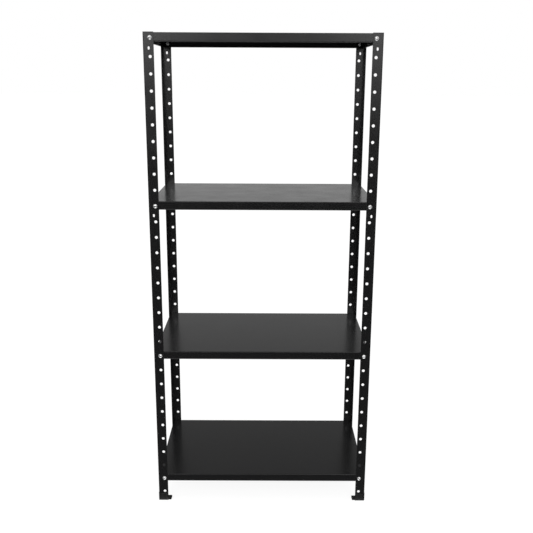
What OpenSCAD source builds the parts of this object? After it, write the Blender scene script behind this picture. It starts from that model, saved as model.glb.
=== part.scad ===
// Four-shelf storage rack made of punched steel angle posts, folded sheet shelves,
// plastic feet and slotted bolts with hexagon nuts.
// Millimetres. Origin on the floor in the middle of the footprint.
// X runs along the shelves, the front faces -Y and Z points up.

/* [Overall size] */
// Width over the feet
overall_w = 690; // [500:1:1000]
// Depth over the feet
overall_d = 400; // [250:1:600]
// Height from the floor to the top of the posts
overall_h = 1500; // [1495:1:1505]

/* [Posts] */
// Width of each flange of the angle
flange_w = 31; // [30:0.5:32]
// Steel thickness of the angle
post_t = 1.5; // [1:0.1:2.5]
// Inner radius of the fold between the flanges
post_bend_r = 1.5; // [0.5:0.1:2.5]
// Diameter of the round holes
hole_d = 9; // [7:0.1:10]
// Distance of the hole row from the post's outer corner
hole_offset = 20; // [18:0.1:22]
// Distance between two holes of the row
hole_pitch = 48.2; // [47.8:0.1:48.3]
// Drop of the topmost hole below the top of the post
top_hole_drop = 16; // [14:0.1:18]
// Drop of the second hole below the top of the post
second_hole_drop = 68.5; // [67:0.1:69]
// Width of the oval holes
oval_w = 5.5; // [4:0.1:6.5]
// Height of the oval holes
oval_h = 9; // [7:0.1:10]
// Distance of the topmost oval hole from the post's outer corner
top_oval_offset = 16.5; // [14:0.1:18]
// Distance of the second oval hole from the post's outer corner
second_oval_offset = 14.7; // [14:0.1:16]
// Drop of an oval hole below the shelf bolt above it
oval_drop = 29; // [28:0.1:30]

/* [Shelves] */
// Sheet thickness of the shelves
shelf_t = 0.8; // [0.6:0.1:1.2]
// Gap between the side lips and the side flanges
side_gap = 1; // [0:0.5:2.5]
// Height of the folded lips
lip_h = 26; // [25:0.5:30]
// Outer radius of the fold between the top and the lips
lip_bend_r = 2; // [1.5:0.1:3]
// Width of the inward fold along the bottom of the lips
hem_w = 10; // [8:0.5:12]
// Outer radius of the fold between the lips and the inward fold
hem_bend_r = 3; // [2:0.1:4]
// Radius of the shelf's corners seen from above
shelf_corner_r = 3; // [3:0.1:4]
// Side of the square relief cut at each corner of the lips
corner_relief = 4; // [4:0.1:5]
// Height of the shelf surface above its bolts
bolt_drop = 14.5; // [13.5:0.1:15]
// Diameter of the bolt holes in the lips
lip_hole_d = 7; // [6.5:0.1:8]
// Hole of the post, counted from the top hole, that carries the second shelf
second_row = 10; // [8:1:12]
// Hole of the post, counted from the top hole, that carries the third shelf
third_row = 20; // [18:1:22]
// Hole of the post, counted from the top hole, that carries the bottom shelf
bottom_row = 29; // [27:1:29]

/* [Feet] */
// Thickness of the foot's outer walls
foot_wall_t = 1; // [0.8:0.1:2]
// Height of the foot's outer walls
foot_wall_h = 26.5; // [22:0.5:28.5]
// Height of the foot's inner walls
foot_inner_h = 16.5; // [13:0.5:20]
// Thickness of the foot's inner walls
foot_inner_t = 2; // [1.5:0.1:3]
// Thickness of the sole under the post
foot_sole_t = 3; // [2:0.1:4]
// Reach of the foot from the post's outer corner
foot_reach = 43; // [40:0.5:48]
// Height of the sloping ends of the foot
foot_slope_h = 9.5; // [5:0.5:12]
// Inset of the sloping ends at the floor
foot_slope_in = 3; // [2:0.5:6]

/* [Bolts and nuts] */
// Thread diameter of the bolts
bolt_d = 6; // [5:0.5:6]
// Length of the bolts under the head
bolt_len = 12; // [10:1:16]
// Diameter of the domed bolt heads
head_d = 13; // [12:0.5:15]
// Height of the domed bolt heads
head_h = 3.2; // [2.8:0.1:4]
// Height of the straight rim of the heads
head_rim_h = 0.6; // [0.3:0.1:1]
// Width of the screwdriver slot
driver_slot_w = 1.6; // [1.2:0.1:2]
// Depth of the screwdriver slot
driver_slot_deep = 1.4; // [1:0.1:1.8]
// Width of the nuts across two flats
nut_across = 10; // [9:0.5:11]
// Height of the nuts
nut_h = 5; // [4:0.1:6]

/* [Hidden] */
$fn = 96;
hole_count = 31;
small_gap = 0.05;
cut_extra = 1;
// Turning of the bolts about their own axes, in degrees
turn_per_row = 32;
turn_per_side = 25;
turn_per_face = 10;
turn_start = 75;
powder_black = [0.035, 0.035, 0.037];
plastic_black = [0.03, 0.03, 0.03];
zinc = [0.72, 0.73, 0.74];

// Outer size of the four posts together
frame_w = overall_w - 2 * foot_wall_t;
frame_d = overall_d - 2 * foot_wall_t;
post_len = overall_h - foot_sole_t;
// Outer size of a shelf between the posts' flanges
shelf_w = frame_w - 2 * (post_t + side_gap);
shelf_d = frame_d - 2 * post_t;
// Sideways position of the bolts and the spread of the hole rows
bolt_x = frame_w / 2 - hole_offset;
// Radius of the dome of a bolt head
dome_h = head_h - head_rim_h;
dome_r = (head_d * head_d / 4 + dome_h * dome_h) / (2 * dome_h);
// Direction signs
left = -1;
right = 1;
front = -1;
rear = 1;

// Height of hole number row above the floor
function hole_z(row) = row == 0
  ? overall_h - top_hole_drop
  : overall_h - second_hole_drop - (row - 1) * hole_pitch;

// ---------- placing ----------

// Puts a part drawn from its outer corner towards +X and +Y at a corner of the rack.
module at_corner(side, face) {
  translate([side * frame_w / 2, face * frame_d / 2, 0])
    mirror([side == right ? 1 : 0, 0, 0])
      mirror([0, face == rear ? 1 : 0, 0])
        children();
}

// Puts a part drawn along +Z on the front or rear bolt positions at one height. Each
// bolt is turned by its own amount, as hand-tightened ones are.
module at_bolts(row, face, inset) {
  for (side = [left, right])
    translate([side * bolt_x, face * (frame_d / 2 - inset), hole_z(row)])
      rotate([face == front ? 90 : -90, 0, 0])
        rotate([0, 0, row * turn_per_row + side * turn_per_side + face * turn_per_face + turn_start])
          children();
}

// ---------- profiles ----------

// Square with a rounded corner at the origin.
module corner_square(size, r) {
  translate([r, 0])
    square([size - r, size]);
  translate([0, r])
    square([size, size - r]);
  translate([r, r])
    circle(r = r);
}

// Rectangle centred on the origin; the two upper corners and the two lower ones
// are rounded separately.
module round_rect(w, h, upper_r, lower_r) {
  for (side = [left, right]) {
    translate([side * (w / 2 - upper_r), h / 2 - upper_r])
      circle(r = upper_r);
    translate([side * (w / 2 - lower_r), lower_r - h / 2])
      circle(r = lower_r);
  }
  translate([upper_r - w / 2, 0])
    square([w - 2 * upper_r, h / 2]);
  translate([lower_r - w / 2, -h / 2])
    square([w - 2 * lower_r, h / 2]);
  translate([-w / 2, lower_r - h / 2])
    square([w, h - upper_r - lower_r]);
}

// Block with rounded edges along its top, its bottom and its upright corners.
module folded_block(w, d, h, upper_r, lower_r, corner_r) {
  intersection() {
    translate([0, d / 2, 0])
      rotate([90, 0, 0])
        linear_extrude(d)
          round_rect(w, h, upper_r, lower_r);
    translate([-w / 2, 0, 0])
      rotate([90, 0, 90])
        linear_extrude(w)
          round_rect(d, h, upper_r, lower_r);
    translate([0, 0, -h / 2])
      linear_extrude(h)
        round_rect(w, d, corner_r, corner_r);
  }
}

// ---------- posts ----------

module angle_section() {
  difference() {
    corner_square(flange_w, post_bend_r + post_t);
    translate([post_t, post_t])
      corner_square(flange_w, post_bend_r);
  }
}

// Holes through the flange that lies along X.
module flange_holes() {
  for (row = [0 : hole_count - 1])
    translate([hole_offset, post_t + cut_extra, hole_z(row)])
      rotate([90, 0, 0])
        cylinder(d = hole_d, h = post_t + 2 * cut_extra);
  for (spot = [[0, top_oval_offset], [second_row, second_oval_offset]])
    translate([spot[1], post_t + cut_extra, hole_z(spot[0]) - oval_drop])
      rotate([90, 0, 0])
        linear_extrude(post_t + 2 * cut_extra)
          oval();
}

module oval() {
  half = (oval_h - oval_w) / 2;
  for (end = [-half, half])
    translate([0, end])
      circle(d = oval_w);
  translate([-oval_w / 2, -half])
    square([oval_w, 2 * half]);
}

module post() {
  difference() {
    translate([0, 0, foot_sole_t])
      linear_extrude(post_len)
        angle_section();
    flange_holes();
    mirror([1, -1, 0])
      flange_holes();
  }
}

// ---------- shelves ----------

module shelf(row) {
  middle_z = hole_z(row) + bolt_drop - lip_h / 2;
  difference() {
    translate([0, 0, middle_z])
      shelf_shell();
    for (side = [left, right])
      translate([side * bolt_x, frame_d / 2, hole_z(row)])
        rotate([90, 0, 0])
          cylinder(d = lip_hole_d, h = frame_d);
  }
}

module shelf_shell() {
  difference() {
    folded_block(shelf_w, shelf_d, lip_h, lip_bend_r, hem_bend_r, shelf_corner_r);
    folded_block(shelf_w - 2 * shelf_t, shelf_d - 2 * shelf_t, lip_h - 2 * shelf_t,
      lip_bend_r - shelf_t, hem_bend_r - shelf_t, shelf_corner_r - shelf_t);
    translate([hem_w - shelf_w / 2, hem_w - shelf_d / 2, -lip_h])
      cube([shelf_w - 2 * hem_w, shelf_d - 2 * hem_w, lip_h]);
    for (x = [-1, 1], y = [-1, 1])
      translate([x * shelf_w / 2, y * shelf_d / 2, -lip_bend_r])
        cube([2 * corner_relief, 2 * corner_relief, lip_h], center = true);
  }
}

// ---------- feet ----------

// Side view of the foot inside the post: upright above, sloping in at the floor.
module inner_side() {
  polygon([
    [-foot_wall_t, 0],
    [foot_reach - foot_slope_in, 0],
    [foot_reach, foot_slope_h],
    [foot_reach, foot_inner_h],
    [-foot_wall_t, foot_inner_h]
  ]);
}

// Cuts what is drawn along +X and +Y to the sloping ends of the foot.
module within_slopes() {
  intersection() {
    children();
    translate([0, foot_reach, 0])
      rotate([90, 0, 0])
        linear_extrude(foot_reach + foot_wall_t)
          inner_side();
    mirror([1, -1, 0])
      translate([0, foot_reach, 0])
        rotate([90, 0, 0])
          linear_extrude(foot_reach + foot_wall_t)
            inner_side();
  }
}

// Plan of the sole: it fills the angle up to a straight diagonal edge with blunt ends.
module sole_plan() {
  blunt = post_t + 3 * foot_inner_t;
  intersection() {
    union() {
      outer_corner();
      translate([post_t, post_t])
        square(foot_reach - post_t);
    }
    polygon([
      [-foot_wall_t, -foot_wall_t],
      [foot_reach, -foot_wall_t],
      [foot_reach, blunt],
      [blunt, foot_reach],
      [-foot_wall_t, foot_reach]
    ]);
  }
}

// Plan of the walls that stand inside the angle, clear of its inner fold.
module inner_plan() {
  back = post_t + foot_inner_t;
  polygon([
    [post_t + post_bend_r, post_t],
    [foot_reach, post_t],
    [foot_reach, back],
    [back + post_bend_r, back],
    [back, back + post_bend_r],
    [back, foot_reach],
    [post_t, foot_reach],
    [post_t, post_t + post_bend_r]
  ]);
}

module outer_corner() {
  translate([-foot_wall_t, -foot_wall_t])
    corner_square(flange_w + foot_wall_t, post_t + post_bend_r + foot_wall_t);
}

module foot() {
  within_slopes()
    union() {
      linear_extrude(foot_sole_t)
        sole_plan();
      linear_extrude(foot_inner_h)
        inner_plan();
    }
  linear_extrude(foot_wall_h)
    difference() {
      outer_corner();
      corner_square(flange_w + cut_extra, post_t + post_bend_r);
    }
}

// ---------- bolts and nuts ----------

// Bolt along Z: the head stands above zero, the thread runs below it.
module bolt() {
  difference() {
    rotate_extrude()
      intersection() {
        translate([0, head_h - dome_r])
          circle(r = dome_r);
        square([head_d / 2, head_h]);
      }
    translate([-head_d / 2, -driver_slot_w / 2, head_h - driver_slot_deep])
      cube([head_d, driver_slot_w, head_h]);
  }
  translate([0, 0, -bolt_len])
    cylinder(d = bolt_d, h = bolt_len);
}

// Nut along Z, its face at zero.
module nut() {
  translate([0, 0, -nut_h])
    difference() {
      cylinder(d = nut_across / cos(30), h = nut_h, $fn = 6);
      translate([0, 0, -cut_extra])
        cylinder(d = bolt_d + 2 * small_gap, h = nut_h + 2 * cut_extra);
    }
}

module bolt_pair(row, face) {
  color(zinc)
    at_bolts(row, face, 0)
      bolt();
}

module nut_pair(row, face) {
  color(zinc)
    at_bolts(row, face, post_t + shelf_t)
      nut();
}

// ---------- named pieces ----------

module post_front_left() {
  color(powder_black)
    at_corner(left, front)
      post();
}

module post_front_right() {
  color(powder_black)
    at_corner(right, front)
      post();
}

module post_rear_left() {
  color(powder_black)
    at_corner(left, rear)
      post();
}

module post_rear_right() {
  color(powder_black)
    at_corner(right, rear)
      post();
}

module shelf_top() {
  color(powder_black)
    shelf(0);
}

module shelf_second() {
  color(powder_black)
    shelf(second_row);
}

module shelf_third() {
  color(powder_black)
    shelf(third_row);
}

module shelf_bottom() {
  color(powder_black)
    shelf(bottom_row);
}

module foot_front_left() {
  color(plastic_black)
    at_corner(left, front)
      foot();
}

module foot_front_right() {
  color(plastic_black)
    at_corner(right, front)
      foot();
}

module foot_rear_left() {
  color(plastic_black)
    at_corner(left, rear)
      foot();
}

module foot_rear_right() {
  color(plastic_black)
    at_corner(right, rear)
      foot();
}

module bolts_top_front() {
  bolt_pair(0, front);
}

module bolts_top_rear() {
  bolt_pair(0, rear);
}

module bolts_second_front() {
  bolt_pair(second_row, front);
}

module bolts_second_rear() {
  bolt_pair(second_row, rear);
}

module bolts_third_front() {
  bolt_pair(third_row, front);
}

module bolts_third_rear() {
  bolt_pair(third_row, rear);
}

module bolts_bottom_front() {
  bolt_pair(bottom_row, front);
}

module bolts_bottom_rear() {
  bolt_pair(bottom_row, rear);
}

module nuts_top_front() {
  nut_pair(0, front);
}

module nuts_top_rear() {
  nut_pair(0, rear);
}

module nuts_second_front() {
  nut_pair(second_row, front);
}

module nuts_second_rear() {
  nut_pair(second_row, rear);
}

module nuts_third_front() {
  nut_pair(third_row, front);
}

module nuts_third_rear() {
  nut_pair(third_row, rear);
}

module nuts_bottom_front() {
  nut_pair(bottom_row, front);
}

module nuts_bottom_rear() {
  nut_pair(bottom_row, rear);
}

post_front_left();
post_front_right();
post_rear_left();
post_rear_right();
shelf_top();
shelf_second();
shelf_third();
shelf_bottom();
foot_front_left();
foot_front_right();
foot_rear_left();
foot_rear_right();
bolts_top_front();
bolts_top_rear();
bolts_second_front();
bolts_second_rear();
bolts_third_front();
bolts_third_rear();
bolts_bottom_front();
bolts_bottom_rear();
nuts_top_front();
nuts_top_rear();
nuts_second_front();
nuts_second_rear();
nuts_third_front();
nuts_third_rear();
nuts_bottom_front();
nuts_bottom_rear();
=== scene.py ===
"""Looks of a black four-shelf rack: punched angle posts, folded sheet shelves, plastic
feet, slotted bolts and hexagon nuts. Lengths are millimetres until a mesh is made; the
materials and the studio are in metres. Angles are degrees where a name ends in _DEG."""

import math

import bmesh
import bpy
from mathutils import Matrix, Vector
from mathutils.geometry import delaunay_2d_cdt


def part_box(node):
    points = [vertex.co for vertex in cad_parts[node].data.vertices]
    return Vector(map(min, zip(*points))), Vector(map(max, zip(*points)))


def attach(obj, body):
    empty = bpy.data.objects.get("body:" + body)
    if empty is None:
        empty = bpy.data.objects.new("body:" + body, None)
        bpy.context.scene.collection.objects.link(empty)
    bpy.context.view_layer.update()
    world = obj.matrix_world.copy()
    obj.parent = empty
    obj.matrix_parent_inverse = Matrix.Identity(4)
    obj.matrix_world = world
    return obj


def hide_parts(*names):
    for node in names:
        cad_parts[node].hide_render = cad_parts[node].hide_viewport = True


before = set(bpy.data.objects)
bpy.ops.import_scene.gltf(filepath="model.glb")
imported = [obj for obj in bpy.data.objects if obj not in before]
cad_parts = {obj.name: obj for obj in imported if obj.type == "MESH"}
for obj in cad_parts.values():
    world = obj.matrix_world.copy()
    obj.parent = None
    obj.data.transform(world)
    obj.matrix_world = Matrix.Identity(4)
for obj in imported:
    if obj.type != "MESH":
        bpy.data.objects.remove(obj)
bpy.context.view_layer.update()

MM = 0.001
LEFT, RIGHT = -1, 1
FRONT, REAR = -1, 1
SIDES = {"left": LEFT, "right": RIGHT}
FACES = {"front": FRONT, "rear": REAR}
UP = Vector((0, 0, 1))
DOWN = Vector((0, 0, -1))


def box_mm(node):
    """Lowest and highest corner of a CAD node in millimetres."""
    low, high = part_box(node)
    return low / MM, high / MM


# ---------- sizes of the rack ----------

POST_LOW, POST_HIGH = box_mm("post_front_left")
FRAME_W = -2 * POST_LOW.x
FRAME_D = -2 * POST_LOW.y
FLANGE_W = POST_HIGH.x - POST_LOW.x
POST_BOTTOM = POST_LOW.z
POST_TOP = POST_HIGH.z
POST_T = 1.5
POST_BEND_R = 3.0
POST_EDGE_R = 0.3

HOLE_D = 9.0
HOLE_OFFSET = 20.0
HOLE_PITCH = 48.2
TOP_HOLE_DROP = 16.0
SECOND_HOLE_DROP = 68.5
HOLE_COUNT = 31
OVAL_W = 5.5
OVAL_H = 9.0
OVAL_DROP = 29.0

SHELF_ROWS = {"top": 0, "second": 10, "third": 20, "bottom": 29}
OVAL_OFFSETS = {SHELF_ROWS["top"]: 16.5, SHELF_ROWS["second"]: 14.7}
SHELF_T = 0.8
SHELF_EDGE_R = 0.2
LIP_BEND_R = 2.0
HEM_W = 10.0
HEM_BEND_R = 3.0
HEM_MITRE_GAP = 0.3
SHELF_CORNER_R = 3.0
CORNER_RELIEF = 4.0
LIP_HOLE_D = 7.0
BOLT_X = FRAME_W / 2 - HOLE_OFFSET

FOOT_EDGE_R = 0.35
FOOT_SHARP_DEG = 28

BOLT_D = 6.0
BOLT_LEN = 12.0
THREAD_PITCH = 1.0
THREAD_DEPTH = 0.55
TIP_DEPTH = 1.3 * THREAD_DEPTH
HEAD_D = 13.0
HEAD_H = 3.2
HEAD_RIM_H = 0.6
HEAD_EDGE_R = 0.2
SLOT_W = 1.6
SLOT_DEEP = 1.4
SLOT_EDGE_R = 0.12
SLOT_SHARP_DEG = 32
# Painted shade on the bolt heads: how dark their rims are painted where shade falls
RIM_PAINTED_SHADE = 0.8
RIM_PAINTED_SHADE_W = 1.5  # over which a full layer of painted shade would fade out
NUT_ACROSS = 10.0
NUT_H = 5.0
NUT_FACE_SHARE = 0.96
NUT_SIDE_DEG = 60
NUT_CHAMFER_DEG = 30
NUT_BORE_CHAMFER = 0.5
NUT_GAP = 0.05

# Turning of the fasteners about their own axes
TURN_PER_ROW_DEG = 32
TURN_PER_SIDE_DEG = 25
TURN_PER_FACE_DEG = 10
TURN_START_DEG = 75

# How many steps a turn, a bend or one pitch of the thread is drawn in
HOLE_STEPS = 32
BEND_STEPS = 8
CORNER_STEPS = 6
HEAD_STEPS = 64
DOME_STEPS = 14
THREAD_STEPS = 24
THREAD_RINGS = 6
NUT_STEPS = 72

# Lengths and folds too small to count, and the folds above which shading breaks
SAME_PLACE = 0.001
SLACK = 0.01
FLAT_DEG = 1
MOULDED_CREASE_DEG = 30
METAL_CREASE_DEG = 35


def hole_z(row):
    """Height of hole number row of the posts, counted from the top."""
    if row == 0:
        return POST_TOP - TOP_HOLE_DROP
    return POST_TOP - SECOND_HOLE_DROP - (row - 1) * HOLE_PITCH


# ---------- bent sheet ----------

# Settings of the triangulation: keep what lies inside the edges, and how near points merge
INSIDE = 1
CUT_TOLERANCE = 1e-6


class Skin:
    """Outer face of a bent sheet: points with normals, and faces that run
    counter-clockwise as seen from outside."""

    def __init__(self):
        self.points = []
        self.normals = []
        self.faces = []

    def point(self, place, normal):
        self.points.append(Vector(place))
        self.normals.append(Vector(normal))
        return len(self.points) - 1

    def face(self, *indices):
        self.faces.append(list(indices))

    def flat_with_holes(self, outline, holes, place, normal):
        """A flat stretch. outline lists point numbers with their flat coordinates,
        holes are closed rings of flat coordinates, place turns those into a point."""
        flat = [Vector(uv) for _, uv in outline]
        numbers = [number for number, _ in outline]
        rings = [range(len(flat))]
        for hole in holes:
            rings.append(range(len(flat), len(flat) + len(hole)))
            for uv in hole:
                flat.append(Vector(uv))
                numbers.append(self.point(place(*uv), normal))
        edges = [(ring[i - 1], ring[i]) for ring in rings for i in range(len(ring))]
        ring_of = [k for k, ring in enumerate(rings) for _ in ring]
        _, _, triangles, sources, _, _ = delaunay_2d_cdt(flat, edges, [], INSIDE, CUT_TOLERANCE)
        # A triangle with all its corners on one hole's ring lies in the hole.
        for triangle in triangles:
            corners = [sources[i][0] for i in triangle]
            owners = {ring_of[i] for i in corners}
            if len(owners) > 1 or owners == {0}:
                self.face(*[numbers[i] for i in corners])


def ring_points(u, v, radius, half_length=0.0):
    """Round hole, or an upright oval one whose straight sides are 2 * half_length long."""
    ring = []
    for i in range(HOLE_STEPS):
        angle = (i + 0.5) * math.tau / HOLE_STEPS
        shift = math.copysign(half_length, math.sin(angle))
        ring.append((u + radius * math.cos(angle), v + radius * math.sin(angle) + shift))
    return ring


def outward(skin):
    """The free edges, and for each point on one the direction in the sheet that leads off it."""
    uses = dict.fromkeys(pair for face in skin.faces for pair in zip(face, face[1:] + face[:1]))
    free = [(a, b) for a, b in uses if (b, a) not in uses]
    meets = {}
    for a, b in free:
        along = (skin.points[b] - skin.points[a]).normalized()
        for end in (a, b):
            meets.setdefault(end, []).append(along.cross(skin.normals[end]).normalized())
    off = {end: (one + two) / (1 + one.dot(two)) for end, (one, two) in meets.items()}
    return free, off


def thicken(skin, thickness, edge_r):
    """Gives the sheet its thickness, with all free edges rounded by edge_r."""
    free, off = outward(skin)
    half = edge_r * (1 - math.sqrt(0.5))
    # Across a free edge: how far out and how deep, and how the normal leans out and outward
    levels = [
        (-edge_r, 0, 0, 1),
        (-half, half, 1, 1),
        (0, edge_r, 1, 0),
        (0, thickness - edge_r, 1, 0),
        (-half, thickness - half, 1, -1),
        (-edge_r, thickness, 0, -1),
    ]
    points, normals, faces, on_edge = [], [], [], []

    def add(i, level):
        out, deep, lean, face_on = level
        direction = off.get(i, Vector())
        normal = skin.normals[i]
        points.append(skin.points[i] + direction * out - normal * deep)
        normals.append((direction * lean + normal * face_on).normalized())
        return len(points) - 1

    outer = [add(i, levels[0]) for i in range(len(skin.points))]
    inner = [add(i, levels[-1]) for i in range(len(skin.points))]
    between = {i: [outer[i]] + [add(i, level) for level in levels[1:-1]] + [inner[i]] for i in off}
    for face in skin.faces:
        faces.append([outer[i] for i in face])
        faces.append([inner[i] for i in reversed(face)])
        on_edge += [0.0, 0.0]
    for a, b in free:
        for k in range(len(levels) - 1):
            faces.append([between[b][k], between[a][k], between[a][k + 1], between[b][k + 1]])
            on_edge.append(1.0)
    return points, normals, faces, on_edge


# ---------- making objects ----------


def make_piece(name, nodes, material, mesh):
    """Links a finished mesh as a piece that stands for CAD nodes."""
    mesh.materials.append(material)
    piece = bpy.data.objects.new(name, mesh)
    bpy.context.scene.collection.objects.link(piece)
    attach(piece, "root")
    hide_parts(*nodes)


def sheet_mesh(name, sheet, place=Matrix.Identity(4)):
    """Mesh of a thickened sheet, moved by place, which may mirror it."""
    points, normals, faces, on_edge = sheet
    mirrored = place.determinant() < 0
    turn = place.to_3x3()
    mesh = bpy.data.meshes.new(name)
    if mirrored:
        faces = [list(reversed(face)) for face in faces]
    mesh.from_pydata([(place @ p) * MM for p in points], [], faces)
    worn = mesh.attributes.new("edge", "FLOAT", "FACE")
    worn.data.foreach_set("value", on_edge)
    mesh.shade_smooth()
    mesh.normals_split_custom_set_from_vertices([(turn @ n).normalized() for n in normals])
    mesh.validate()
    return mesh


def lathe(profile, steps):
    """bmesh of a profile, a list of (radius, height) from bottom to top, turned about Z."""
    bm = bmesh.new()
    rings = []
    for radius, height in profile:
        if radius == 0:
            rings.append([bm.verts.new((0, 0, height))])
            continue
        ring = []
        for i in range(steps):
            angle = i * math.tau / steps
            ring.append(bm.verts.new((radius * math.cos(angle), radius * math.sin(angle), height)))
        rings.append(ring)
    for low, high in zip(rings, rings[1:]):
        for i in range(steps):
            j = (i + 1) % steps
            below = [low[i % len(low)], low[j % len(low)]]
            above = [high[j % len(high)], high[i % len(high)]]
            bm.faces.new(list(dict.fromkeys(below + above)))
    return bm


def evaluated(bm, set_up):
    """The bmesh after modifiers that set_up adds to a passing object."""
    mesh = bpy.data.meshes.new("passing")
    bm.to_mesh(mesh)
    bm.free()
    passing = bpy.data.objects.new("passing", mesh)
    bpy.context.scene.collection.objects.link(passing)
    helpers = set_up(passing)
    graph = bpy.context.evaluated_depsgraph_get()
    done = bmesh.new()
    done.from_object(passing, graph)
    for used in [passing] + helpers:
        bpy.data.objects.remove(used)
    return done


# ---------- posts ----------


def post_skin():
    """Outer face of a post, drawn from its outer corner towards +X and +Y."""
    skin = Skin()
    low, high = POST_BOTTOM, POST_TOP
    bend = []
    for i in range(BEND_STEPS + 1):
        angle = math.radians(90 * i / BEND_STEPS)
        normal = Vector((-math.cos(angle), -math.sin(angle), 0))
        at = Vector((POST_BEND_R, POST_BEND_R, 0)) + POST_BEND_R * normal
        bend.append((skin.point(at + low * UP, normal), skin.point(at + high * UP, normal)))
    for (low_a, high_a), (low_b, high_b) in zip(bend, bend[1:]):
        skin.face(low_a, low_b, high_b, high_a)

    def flange(sign, inner, place, normal):
        end = sign * FLANGE_W
        tips = [skin.point(place(end, z), normal) for z in (low, high)]
        near = sign * POST_BEND_R
        outline = [(inner[0], (near, low)), (tips[0], (end, low)),
                   (tips[1], (end, high)), (inner[1], (near, high))]
        rows = range(HOLE_COUNT)
        holes = [ring_points(sign * HOLE_OFFSET, hole_z(row), HOLE_D / 2) for row in rows]
        half = (OVAL_H - OVAL_W) / 2
        for row, offset in OVAL_OFFSETS.items():
            holes.append(ring_points(sign * offset, hole_z(row) - OVAL_DROP, OVAL_W / 2, half))
        skin.flat_with_holes(outline, holes, place, normal)

    flange(1, bend[-1], lambda s, z: (s, 0, z), (0, -1, 0))
    flange(-1, bend[0], lambda s, z: (0, -s, z), (-1, 0, 0))
    return skin


def corner_place(side, face):
    """Puts a part drawn from its outer corner towards +X and +Y at a corner of the rack."""
    move = Matrix.Translation((side * FRAME_W / 2, face * FRAME_D / 2, 0))
    return move @ Matrix.Diagonal((-side, -face, 1, 1))


def make_posts(material):
    sheet = thicken(post_skin(), POST_T, POST_EDGE_R)
    for side_name, side in SIDES.items():
        for face_name, face in FACES.items():
            node = f"post_{face_name}_{side_name}"
            mesh = sheet_mesh(node + "_steel", sheet, corner_place(side, face))
            make_piece(node + "_steel", [node], material, mesh)


# ---------- shelves ----------


def shelf_corners(high):
    """For each corner of a shelf, the centre of its rounding and the directions that the
    sides before and after it face."""
    corners = []
    around = ((RIGHT, FRONT), (RIGHT, REAR), (LEFT, REAR), (LEFT, FRONT))
    for k, (side, face) in enumerate(around):
        turn = Matrix.Rotation(k * math.pi / 2, 3, "Z")
        x, y = side * (high.x - SHELF_CORNER_R), face * (high.y - SHELF_CORNER_R)
        directions = turn @ Vector((0, -1, 0)), turn @ Vector((1, 0, 0))
        corners.append((Vector((x, y, high.z)), *directions))
    return corners


def folded_top(skin, corners):
    """Flat top of a shelf and the fold around it, down to the loop of points it returns."""
    loops = []
    beyond = CORNER_RELIEF - SHELF_CORNER_R
    for j in range(BEND_STEPS + 1):
        fold = math.radians(90 * j / BEND_STEPS)
        reach = SHELF_CORNER_R - LIP_BEND_R * (1 - math.sin(fold))
        drop = -LIP_BEND_R * (1 - math.cos(fold))
        loop = []
        for centre, before, after in corners:
            stations = [(before, -beyond * after)]
            for i in range(CORNER_STEPS + 1):
                angle = math.radians(90 * i / CORNER_STEPS)
                stations.append((before * math.cos(angle) + after * math.sin(angle), Vector()))
            stations.append((after, -beyond * before))
            for out, shift in stations:
                place = centre + out * reach + shift + drop * UP
                loop.append(skin.point(place, out * math.sin(fold) + UP * math.cos(fold)))
        loops.append(loop)
    skin.face(*loops[0])
    count = len(loops[0])
    for upper, lower in zip(loops, loops[1:]):
        for i in range(count):
            j = (i + 1) % count
            skin.face(lower[i], lower[j], upper[j], upper[i])
    return loops[-1]


def folded_lip(skin, fold_ends, half_length, lip_h, out, place, holes):
    """A lip below the ends of its fold, and its hem. place turns a run along the lip, an
    inset and a height into a point."""

    def row(reach, inset, z, normal):
        return [skin.point(place(s, inset, z), normal) for s in (-reach, reach)]

    reach = half_length - CORNER_RELIEF
    knee = HEM_BEND_R - lip_h
    rows = [row(reach, 0, knee, out)]
    outline = [(rows[0][0], (-reach, knee)), (rows[0][1], (reach, knee)),
               (fold_ends[1], (reach, -LIP_BEND_R)), (fold_ends[0], (-reach, -LIP_BEND_R))]
    skin.flat_with_holes(outline, holes, lambda s, z: place(s, 0, z), out)
    for j in range(1, BEND_STEPS + 1):
        fold = math.radians(90 + 90 * j / BEND_STEPS)
        inset = HEM_BEND_R * (1 - math.sin(fold))
        z = knee + HEM_BEND_R * math.cos(fold)
        rows.append(row(reach, inset, z, out * math.sin(fold) + UP * math.cos(fold)))
    for inset in (CORNER_RELIEF, HEM_W):
        rows.append(row(half_length - inset - HEM_MITRE_GAP, inset, -lip_h, DOWN))
    for upper, lower in zip(rows, rows[1:]):
        skin.face(lower[0], lower[1], upper[1], upper[0])


def shelf_skin(node, row):
    """Outer face of a shelf: top, folded lips with corner reliefs, and their hems."""
    skin = Skin()
    low, high = box_mm(node)
    corners = shelf_corners(high)
    loop = folded_top(skin, corners)
    per_corner = len(loop) // len(corners)
    bolt_z = hole_z(row) - high.z
    bolt_holes = [ring_points(side * BOLT_X, bolt_z, LIP_HOLE_D / 2) for side in SIDES.values()]
    for k, (_, out, along) in enumerate(corners):
        bolted = k % 2 == 0
        half_length, away = (high.x, high.y) if bolted else (high.y, high.x)

        def place(s, inset, z):
            return out * (away - inset) + along * s + (high.z + z) * UP

        fold_ends = loop[k * per_corner - 1], loop[k * per_corner]
        folded_lip(skin, fold_ends, half_length, high.z - low.z, out, place,
                   bolt_holes if bolted else [])
    return skin


def make_shelves(material):
    for name, row in SHELF_ROWS.items():
        node = f"shelf_{name}"
        mesh = sheet_mesh(node + "_sheet", thicken(shelf_skin(node, row), SHELF_T, SHELF_EDGE_R))
        make_piece(node + "_sheet", [node], material, mesh)


# ---------- feet ----------


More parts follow.
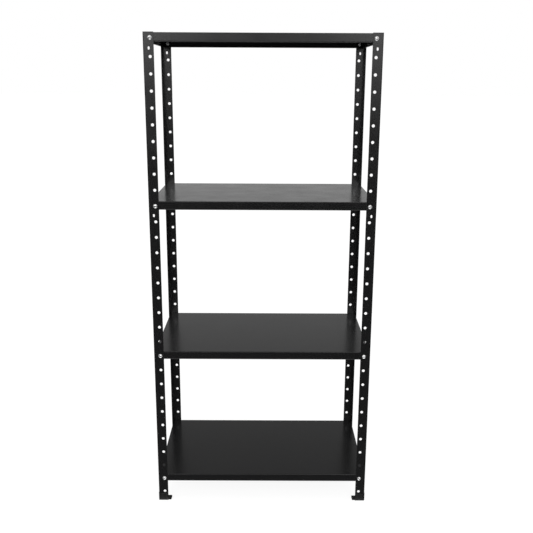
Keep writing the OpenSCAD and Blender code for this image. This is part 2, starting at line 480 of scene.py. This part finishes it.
def make_feet(material):
    """Rounds the edges of the CAD feet."""
    for side_name in SIDES:
        for face_name in FACES:
            node = f"foot_{face_name}_{side_name}"
            bm = bmesh.new()
            bm.from_mesh(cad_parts[node].data)
            bmesh.ops.remove_doubles(bm, verts=bm.verts, dist=SAME_PLACE * MM)
            bmesh.ops.dissolve_limit(
                bm, angle_limit=math.radians(FLAT_DEG), verts=bm.verts, edges=bm.edges)
            fold = math.radians(FOOT_SHARP_DEG)
            sharp = [e for e in bm.edges if e.is_manifold and e.calc_face_angle() > fold]
            bmesh.ops.bevel(bm, geom=sharp, offset=FOOT_EDGE_R * MM, offset_type="OFFSET",
                            segments=2, profile=0.5, affect="EDGES", clamp_overlap=True)
            mesh = bpy.data.meshes.new(node + "_moulding")
            bm.to_mesh(mesh)
            bm.free()
            mesh.shade_smooth()
            mesh.set_sharp_from_angle(angle=math.radians(MOULDED_CREASE_DEG))
            make_piece(node + "_moulding", [node], material, mesh)


# ---------- bolts and nuts ----------


def bolt_head():
    """Slotted dome head, standing on zero, with painted shade in its slot and around its rim."""
    dome_h = HEAD_H - HEAD_RIM_H
    dome_r = (HEAD_D ** 2 / 4 + dome_h ** 2) / (2 * dome_h)
    half_angle = math.asin(HEAD_D / 2 / dome_r)
    profile = [(0, 0), (HEAD_D / 2 - HEAD_EDGE_R, 0), (HEAD_D / 2, HEAD_EDGE_R)]
    for i in range(DOME_STEPS + 1):
        angle = half_angle * (1 - i / DOME_STEPS)
        radius = dome_r * math.sin(angle) if i < DOME_STEPS else 0
        profile.append((radius, HEAD_H - dome_r * (1 - math.cos(angle))))
    head = lathe(profile, HEAD_STEPS)

    def cut_slot(passing):
        bm = bmesh.new()
        bmesh.ops.create_cube(bm, size=1)
        size = Matrix.Diagonal((2 * HEAD_D, SLOT_W, 2 * SLOT_DEEP, 1))
        bmesh.ops.transform(bm, matrix=Matrix.Translation((0, 0, HEAD_H)) @ size, verts=bm.verts)
        mesh = bpy.data.meshes.new("slot")
        bm.to_mesh(mesh)
        bm.free()
        slot = bpy.data.objects.new("slot", mesh)
        bpy.context.scene.collection.objects.link(slot)
        cut = passing.modifiers.new("cut", "BOOLEAN")
        cut.operation = "DIFFERENCE"
        cut.solver = "EXACT"
        cut.object = slot
        soften = passing.modifiers.new("soften", "BEVEL")
        soften.width = SLOT_EDGE_R
        soften.segments = 2
        soften.angle_limit = math.radians(SLOT_SHARP_DEG)
        return [slot]

    head = evaluated(head, cut_slot)
    # Painted shade: slot faces are marked fully dark, and a darkening fades in towards the rim
    painted_shade = head.faces.layers.float.new("painted_shade")
    for face in head.faces:
        centre = face.calc_center_median()
        in_slot = abs(centre.y) < SLOT_W / 2 + SLACK and centre.z > HEAD_H - SLOT_DEEP - SLACK
        from_rim = HEAD_D / 2 - math.hypot(centre.x, centre.y)
        face[painted_shade] = 1.0 if in_slot else max(0.0, RIM_PAINTED_SHADE - from_rim / RIM_PAINTED_SHADE_W)
    return head


def bolt_thread():
    """Threaded shank from zero down, with a tapered tip."""
    bm = bmesh.new()
    rings = []
    count = round(BOLT_LEN / THREAD_PITCH * THREAD_RINGS)
    for k in range(count + 1):
        depth = BOLT_LEN * k / count
        tip = max(0.0, depth - (BOLT_LEN - THREAD_PITCH)) / THREAD_PITCH
        ring = []
        for i in range(THREAD_STEPS):
            phase = (depth / THREAD_PITCH + i / THREAD_STEPS) % 1
            groove = 1 - abs(2 * phase - 1)
            radius = BOLT_D / 2 - max(THREAD_DEPTH * groove, TIP_DEPTH * tip)
            angle = i * math.tau / THREAD_STEPS
            ring.append(bm.verts.new((radius * math.cos(angle), radius * math.sin(angle), -depth)))
        rings.append(ring)
    for high, low in zip(rings, rings[1:]):
        for i in range(THREAD_STEPS):
            j = (i + 1) % THREAD_STEPS
            bm.faces.new((low[i], low[j], high[j], high[i]))
    bm.faces.new(rings[0])
    bm.faces.new(list(reversed(rings[-1])))
    return bm


def hex_nut():
    """Hexagon nut with chamfered corners, its face at zero, its body below."""
    flat = NUT_ACROSS / 2
    chamfer_r = flat * NUT_FACE_SHARE
    slope = math.tan(math.radians(NUT_CHAMFER_DEG))
    bore = BOLT_D / 2 + NUT_GAP
    mouth = bore + NUT_BORE_CHAMFER
    flank = math.radians(NUT_SIDE_DEG)
    bm = bmesh.new()
    columns = []
    for i in range(NUT_STEPS):
        angle = i * math.tau / NUT_STEPS
        from_corner = abs((angle + flank / 2) % flank - flank / 2)
        edge = flat / math.cos(flank / 2 - from_corner)
        drop = max(0.0, edge - chamfer_r) * slope
        stations = [
            (bore, -NUT_BORE_CHAMFER), (mouth, 0), (chamfer_r, 0), (edge, -drop),
            (edge, drop - NUT_H), (chamfer_r, -NUT_H), (mouth, -NUT_H),
            (bore, NUT_BORE_CHAMFER - NUT_H)]
        across, along = math.cos(angle), math.sin(angle)
        columns.append([bm.verts.new((r * across, r * along, z)) for r, z in stations])
    for i in range(NUT_STEPS):
        here, there = columns[i], columns[(i + 1) % NUT_STEPS]
        for k in range(len(here)):
            m = (k + 1) % len(here)
            bm.faces.new((here[k], here[m], there[m], there[k]))
    return bm


def fastener_places(row, face, inset):
    """Where the two bolts or nuts of one height and one face go."""
    for side in SIDES.values():
        move = Matrix.Translation((side * BOLT_X, face * (FRAME_D / 2 - inset), hole_z(row)))
        lie = Matrix.Rotation(-face * math.pi / 2, 4, "X")
        angle = (row * TURN_PER_ROW_DEG + side * TURN_PER_SIDE_DEG + face * TURN_PER_FACE_DEG
                 + TURN_START_DEG)
        yield move @ lie @ Matrix.Rotation(math.radians(angle), 4, "Z")


def joined(parts, places):
    """One mesh that holds each part at each place."""
    whole = bmesh.new()
    for part in parts:
        source = bpy.data.meshes.new("part")
        part.to_mesh(source)
        for place in places:
            copy = source.copy()
            copy.transform(place)
            whole.from_mesh(copy)
    bmesh.ops.scale(whole, vec=(MM, MM, MM), verts=whole.verts)
    bmesh.ops.recalc_face_normals(whole, faces=whole.faces)
    return whole


def make_fasteners(material):
    bolt = [bolt_head(), bolt_thread()]
    nut = [hex_nut()]
    for name, row in SHELF_ROWS.items():
        for face_name, face in FACES.items():
            for kind, parts, inset in (("bolts", bolt, 0), ("nuts", nut, POST_T + SHELF_T)):
                node = f"{kind}_{name}_{face_name}"
                whole = joined(parts, list(fastener_places(row, face, inset)))
                mesh = bpy.data.meshes.new(node + "_zinc")
                whole.to_mesh(mesh)
                whole.free()
                mesh.shade_smooth()
                mesh.set_sharp_from_angle(angle=math.radians(METAL_CREASE_DEG))
                make_piece(node + "_zinc", [node], material, mesh)


# ---------- materials ----------

COAT_BLACK = (0.0038, 0.0038, 0.0040)
COAT_DEEP = (0.0030, 0.0030, 0.0032)
COAT_SPECK = (0.0085, 0.0085, 0.0088)
COAT_RUBBED = (0.035, 0.035, 0.036)
PLASTIC_BLACK = (0.0030, 0.0030, 0.0030)
PLASTIC_GREY = (0.0055, 0.0055, 0.0054)
PLASTIC_SCUFFED = (0.014, 0.014, 0.014)
ZINC_BLUISH = (0.76, 0.78, 0.81)
ZINC_WARM = (0.88, 0.87, 0.84)
# Near-black of the painted shade in the bolt heads' slots and around their rims, and how fully it
# covers
PAINTED_SHADE_BLACK = (0.012, 0.012, 0.012)
PAINTED_SHADE_COVER = 0.95
SCRATCH_STRETCH = (1.0, 1.0, 9.0)
FLOOR_GREY = (0.14, 0.14, 0.14)
FLOOR_PALE = (0.16, 0.16, 0.16)
WHITE = (1, 1, 1, 1)

# Sockets of a Mix node, by what it mixes: first value, second value, result
MIX_SOCKETS = {"FLOAT": (2, 3, 0), "RGBA": (6, 7, 2)}


def add_node(tree, kind, inputs=None, **settings):
    """A node with its settings made, and each input linked or set."""
    made = tree.nodes.new(kind)
    for name, value in settings.items():
        setattr(made, name, value)
    for name, value in (inputs or {}).items():
        if isinstance(value, bpy.types.NodeSocket):
            tree.links.new(value, made.inputs[name])
        else:
            made.inputs[name].default_value = value
    return made


def new_material(name):
    """A material with its node tree, its shader and the place in the object's frame."""
    material = bpy.data.materials.new(name)
    material.use_nodes = True
    tree = material.node_tree
    place = add_node(tree, "ShaderNodeTexCoord").outputs["Object"]
    return material, tree, tree.nodes["Principled BSDF"], place


def noise(tree, place, scale, detail=2.0, rough=0.5):
    """Noise value whose features are about 1 / scale metres wide."""
    made = add_node(tree, "ShaderNodeTexNoise",
                    {"Vector": place, "Scale": scale, "Detail": detail, "Roughness": rough})
    return made.outputs["Fac"]


def spread(tree, value, low, high, start=0.3, stop=0.7, kind="LINEAR"):
    """Maps a value from start..stop to low..high."""
    made = add_node(tree, "ShaderNodeMapRange", {
        "Value": value, "From Min": start, "From Max": stop, "To Min": low, "To Max": high},
        interpolation_type=kind)
    return made.outputs["Result"]


def calculate(tree, operation, one, two=0.0):
    return add_node(tree, "ShaderNodeMath", {0: one, 1: two}, operation=operation).outputs[0]


def mix(tree, factor, one, two, kind="FLOAT"):
    """One where factor is 0, two where it is 1."""
    first, second, result = MIX_SOCKETS[kind]
    made = add_node(tree, "ShaderNodeMix", {"Factor": factor, first: one, second: two},
                    data_type=kind)
    return made.outputs[result]


def mix_colour(tree, factor, one, two):
    """Like mix, for colours, each of them a socket or three numbers."""
    one, two = [(*c, 1) if isinstance(c, tuple) else c for c in (one, two)]
    return mix(tree, factor, one, two, "RGBA")


def face_value(tree, name):
    """The value that the mesh stores for each face under a name."""
    return add_node(tree, "ShaderNodeAttribute", attribute_name=name).outputs["Fac"]


def link(tree, output, shader, name):
    tree.links.new(output, shader.inputs[name])


def bump(tree, height, distance, below=None):
    """Normal of a relief that is distance metres high, on top of the one below."""
    inputs = {"Height": height, "Distance": distance, "Strength": 1.0}
    if below is not None:
        inputs["Normal"] = below
    return add_node(tree, "ShaderNodeBump", inputs).outputs["Normal"]


def powder_coat():
    """Black semi-gloss powder coat: orange peel, faint clouds of gloss, thin bright edges."""
    material, tree, shader, place = new_material("black_powder_coat")
    clouds = noise(tree, place, scale=14.0, detail=4.0)
    peel = noise(tree, place, scale=620.0, rough=0.45)
    grit = noise(tree, place, scale=2600.0, detail=1.0)
    sheet = noise(tree, place, scale=5.0, detail=1.0)
    patchy = spread(tree, noise(tree, place, scale=240.0, detail=3.0), low=0.1, high=0.75)
    rubbed = calculate(tree, "MULTIPLY", face_value(tree, "edge"), patchy)
    specks = spread(tree, grit, low=0.0, high=1.0, start=0.62, stop=0.75)
    speckled = mix_colour(tree, specks, COAT_DEEP, COAT_SPECK)
    tinted = mix_colour(tree, spread(tree, clouds, low=0.0, high=0.5), COAT_BLACK, speckled)
    link(tree, mix_colour(tree, rubbed, tinted, COAT_RUBBED), shader, "Base Color")
    link(tree, spread(tree, clouds, low=0.20, high=0.25), shader, "Roughness")
    shader.inputs["IOR"].default_value = 1.5
    waves = bump(tree, sheet, distance=0.00005)
    dimples = bump(tree, peel, distance=0.00002, below=waves)
    link(tree, bump(tree, grit, distance=0.0000025, below=dimples), shader, "Normal")
    return material


def moulded_plastic():
    """Black moulded plastic with a fine spark-eroded grain and light scuffs."""
    material, tree, shader, place = new_material("black_plastic")
    clouds = noise(tree, place, scale=40.0, detail=3.0)
    grain = noise(tree, place, scale=1900.0, rough=0.6)
    scuffs = noise(tree, place, scale=160.0, detail=5.0, rough=0.7)
    tint = mix_colour(tree, spread(tree, clouds, low=0.0, high=1.0), PLASTIC_BLACK, PLASTIC_GREY)
    unscuffed = spread(tree, scuffs, low=1.0, high=0.0, start=0.6, stop=0.72)
    link(tree, mix_colour(tree, unscuffed, PLASTIC_SCUFFED, tint), shader, "Base Color")
    link(tree, spread(tree, scuffs, low=0.36, high=0.5), shader, "Roughness")
    shader.inputs["IOR"].default_value = 1.4
    link(tree, bump(tree, grain, distance=0.00004), shader, "Normal")
    return material


def zinc_plating():
    """Bright zinc plating with fine handling scratches, a faint bluish cast and painted shade
    where the mesh says so."""
    material, tree, shader, place = new_material("zinc_plated_steel")
    clouds = noise(tree, place, scale=330.0, detail=3.0)
    stretched = add_node(tree, "ShaderNodeMapping", {"Vector": place, "Scale": SCRATCH_STRETCH})
    scratches = noise(tree, stretched.outputs["Vector"], scale=900.0, detail=4.0, rough=0.65)
    tint = mix_colour(tree, spread(tree, clouds, low=0.0, high=1.0), ZINC_BLUISH, ZINC_WARM)
    # Painted shade: darkens the zinc where the mesh marks the slot and the rim of a head
    painted_shading = calculate(tree, "MULTIPLY", face_value(tree, "painted_shade"), PAINTED_SHADE_COVER)
    link(tree, mix_colour(tree, painted_shading, tint, PAINTED_SHADE_BLACK), shader, "Base Color")
    shader.inputs["Metallic"].default_value = 0.8
    link(tree, spread(tree, scratches, low=0.27, high=0.38), shader, "Roughness")
    link(tree, bump(tree, scratches, distance=0.00001), shader, "Normal")
    return material


def pale_floor():
    """White floor that glows like a light table, so the rack's shadow stays faint."""
    material, tree, shader, place = new_material("pale_floor")
    clouds = noise(tree, place, scale=2.0, detail=3.0)
    link(tree, mix_colour(tree, clouds, FLOOR_GREY, FLOOR_PALE), shader, "Base Color")
    shader.inputs["Roughness"].default_value = 0.9
    shader.inputs["Specular IOR Level"].default_value = 0.0
    shader.inputs["Emission Color"].default_value = WHITE
    shader.inputs["Emission Strength"].default_value = 0.9
    return material


# ---------- studio ----------

FLOOR_HALF = 60.0
SENSOR_W = 36.0
FOCAL_LENGTH = 48.97
CAMERA_AT = Vector((0.00778, -2.36184, 1.37169))
CAMERA_PITCH, CAMERA_YAW, CAMERA_ROLL = 0.25356, -0.00211, 0.0047
SOFTBOX_OUT, SOFTBOX_Y, SOFTBOX_Z = 1.7, -3.2, 2.3
SOFTBOX_SIZE = (1.2, 1.6)
SOFTBOX_AIM = Vector((0, 0, 0.9))
SOFTBOX_WATTS = 30

# Brightness that glossy surfaces mirror from each part of the studio
FRONT_MIDDLE, FRONT_SIDES, FRONT_CEILING = 0.78, 6.5, 0.9
FRONT_BELOW, FRONT_FLOOR, FRONT_HORIZON = 2.0, 0.11, 0.05
REAR_HORIZON, REAR_FLOOR = 0.83, 0.05
REAR_FALL = 0.1  # of the brightness is left behind the rack straight up
FLANK_HIGH, FLANK_LOW = 0.5, 0.06

# Where one part gives way to the next: X across, Y to the rear, Z up, on a unit direction
MIDDLE_TO_SIDES = (0.03, 0.25)
SIDES_TO_CEILING = (0.2, 0.5)
BELOW_TO_FLOOR = (-0.9, -0.6)
FLOOR_TO_HORIZON = (-0.4, -0.1)
HORIZON_TO_FRONT = (-0.03, 0.16)
REAR_FLOOR_TO_WALL = (-0.1, 0.08)
FLANK_LOW_TO_HIGH = (-0.1, 0.25)
FRONT_TO_REAR = (-0.25, 0.25)
INWARD_TO_FLANK = (0.28, 0.5)


def make_floor():
    bm = bmesh.new()
    bmesh.ops.create_grid(bm, x_segments=1, y_segments=1, size=FLOOR_HALF)
    mesh = bpy.data.meshes.new("floor")
    bm.to_mesh(mesh)
    bm.free()
    mesh.materials.append(pale_floor())
    floor = bpy.data.objects.new("floor", mesh)
    bpy.context.scene.collection.objects.link(floor)
    floor.visible_glossy = False


def make_world():
    """Even white light, with its own brightness map for what glossy surfaces mirror."""
    world = bpy.data.worlds.new("studio")
    world.use_nodes = True
    bpy.context.scene.world = world
    tree = world.node_tree
    background = tree.nodes["Background"]
    toward = add_node(tree, "ShaderNodeTexCoord").outputs["Generated"]
    axes = add_node(tree, "ShaderNodeSeparateXYZ", {"Vector": toward})
    x, y, z = axes.outputs["X"], axes.outputs["Y"], axes.outputs["Z"]

    def fade(value, between, one, two):
        """One below the first number of between, two above the second."""
        factor = spread(tree, value, 0.0, 1.0, *between, kind="SMOOTHSTEP")
        return mix(tree, factor, one, two)

    side = calculate(tree, "ABSOLUTE", x)
    front_wall = fade(side, MIDDLE_TO_SIDES, FRONT_MIDDLE, FRONT_SIDES)
    front_high = fade(z, SIDES_TO_CEILING, front_wall, FRONT_CEILING)
    front_floor = fade(z, BELOW_TO_FLOOR, FRONT_BELOW, FRONT_FLOOR)
    front_low = fade(z, FLOOR_TO_HORIZON, front_floor, FRONT_HORIZON)
    front = fade(z, HORIZON_TO_FRONT, front_low, front_high)
    rear_wall = calculate(tree, "MULTIPLY", calculate(tree, "POWER", REAR_FALL, z), REAR_HORIZON)
    rear = fade(z, REAR_FLOOR_TO_WALL, REAR_FLOOR, rear_wall)
    flank = fade(z, FLANK_LOW_TO_HIGH, FLANK_LOW, FLANK_HIGH)
    mirrored = fade(side, INWARD_TO_FLANK, fade(y, FRONT_TO_REAR, front, rear), flank)
    path = add_node(tree, "ShaderNodeLightPath")
    background.inputs["Color"].default_value = WHITE
    link(tree, mix(tree, path.outputs["Is Glossy Ray"], 1.0, mirrored), background, "Strength")


def make_softbox(side_name, side):
    data = bpy.data.lights.new(f"softbox_{side_name}", "AREA")
    data.shape = "RECTANGLE"
    data.size, data.size_y = SOFTBOX_SIZE
    data.energy = SOFTBOX_WATTS
    light = bpy.data.objects.new(data.name, data)
    bpy.context.scene.collection.objects.link(light)
    light.location = (side * SOFTBOX_OUT, SOFTBOX_Y, SOFTBOX_Z)
    light.rotation_mode = "QUATERNION"
    light.rotation_quaternion = (SOFTBOX_AIM - light.location).to_track_quat("-Z", "Y")
    light.visible_camera = False
    light.visible_glossy = False


def make_camera():
    """Looks along +Y, turned down by the pitch."""
    data = bpy.data.cameras.new("camera")
    data.sensor_width = SENSOR_W
    data.lens = FOCAL_LENGTH
    camera = bpy.data.objects.new("camera", data)
    bpy.context.scene.collection.objects.link(camera)
    aim = (Matrix.Rotation(CAMERA_YAW, 4, "Z") @ Matrix.Rotation(math.pi / 2 - CAMERA_PITCH, 4, "X")
           @ Matrix.Rotation(CAMERA_ROLL, 4, "Z"))
    camera.matrix_world = Matrix.Translation(CAMERA_AT) @ aim
    bpy.context.scene.camera = camera


coat = powder_coat()
make_posts(coat)
make_shelves(coat)
make_feet(moulded_plastic())
make_fasteners(zinc_plating())
make_floor()
make_world()
for light_name, light_side in SIDES.items():
    make_softbox(light_name, light_side)
make_camera()
bpy.context.scene.view_settings.view_transform = "Standard"
